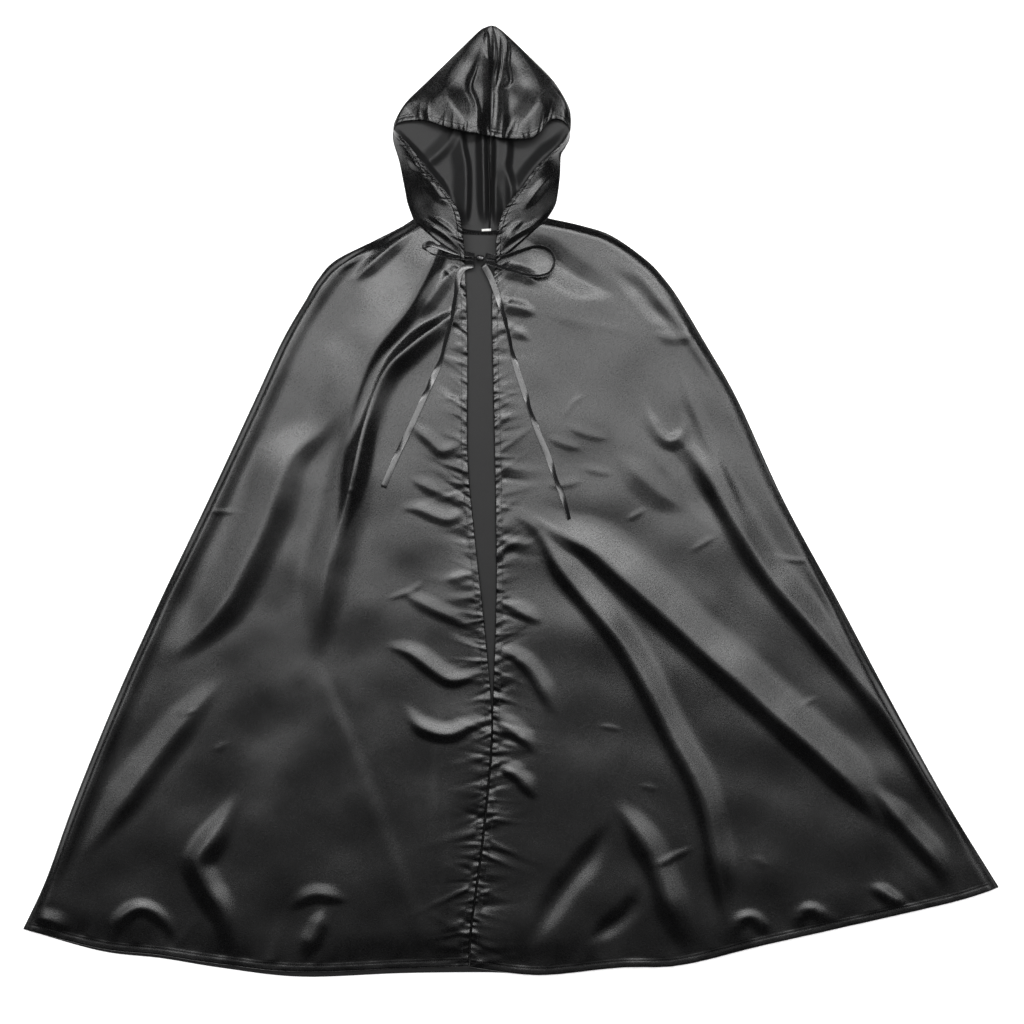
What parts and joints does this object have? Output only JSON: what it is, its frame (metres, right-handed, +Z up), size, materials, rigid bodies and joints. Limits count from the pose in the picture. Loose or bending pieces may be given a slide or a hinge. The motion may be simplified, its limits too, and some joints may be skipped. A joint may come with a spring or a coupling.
{
  "type": "hooded cape",
  "caption": "Long hooded costume cape in black satin, lying flat, open down the front and tied at the neck with a ribbon bow.",
  "frame": {"origin": "underside of the back panel, on the surface that the cape lies on, at the middle of the back neck seam", "axes": "+Z up out of that surface, +Y from the neck towards the tip of the hood, +X to the right of somebody looking down at the cape"},
  "size_m": [1.516, 1.4769, 0.0409],
  "materials": {
    "satin": "glossy satin face, fine weave",
    "satin_reverse": "matt reverse of the satin",
    "ribbon": "glossy woven ribbon",
    "label": "plain white woven tape, blank",
    "thread": "polyester sewing thread"
  },
  "bodies": {
    "cape": {"back_panel": "satin_reverse", "back_hem": "satin", "front_left_side": "satin", "front_hem_left_side": "satin", "front_right_side": "satin", "front_hem_right_side": "satin", "edge_band_left_top": "satin", "edge_band_right_top": "satin", "side_seam_left": "satin", "side_seam_right": "satin", "neck_seam": "satin", "neck_label": "label", "bow_knot": "ribbon", "ribbon_end_left": "ribbon", "ribbon_end_right": "ribbon", "bow_loop_left": "ribbon", "bow_loop_right": "ribbon", "bow_tail_left_top": "ribbon", "bow_tail_right_top": "ribbon", "hood_gather_left": "satin", "hood_gather_right": "satin"},
    "hood": {"hood_panel_left": "satin", "hood_panel_right": "satin", "hood_brow_hem_left": "satin", "hood_brow_hem_right": "satin", "hood_face_hem_left": "satin", "hood_face_hem_right": "satin", "hood_crown_seam": "thread"},
    "front_left": {"front_left_flap": "satin", "front_hem_left_flap": "satin", "edge_band_left": "satin", "bow_tail_left": "ribbon"},
    "front_right": {"front_right_flap": "satin", "front_hem_right_flap": "satin", "edge_band_right": "satin", "bow_tail_right": "ribbon"}
  },
  "joints": [
    {"name": "hood_fold", "type": "hinge", "parent": "cape", "child": "hood", "pos_m": [0.01, 0.02, 0.01], "axis": [1, 0, 0], "range_deg": [0, 120]},
    {"name": "front_left_fold", "type": "hinge", "parent": "cape", "child": "front_left", "pos_m": [-0.0225, -0.1, 0.0098], "axis": [-0.5598, -0.8286, 0], "range_deg": [0, 150]},
    {"name": "front_right_fold", "type": "hinge", "parent": "cape", "child": "front_right", "pos_m": [0.0148, -0.1, 0.0098], "axis": [-0.6253, 0.7804, 0], "range_deg": [0, 150]}
  ]
}
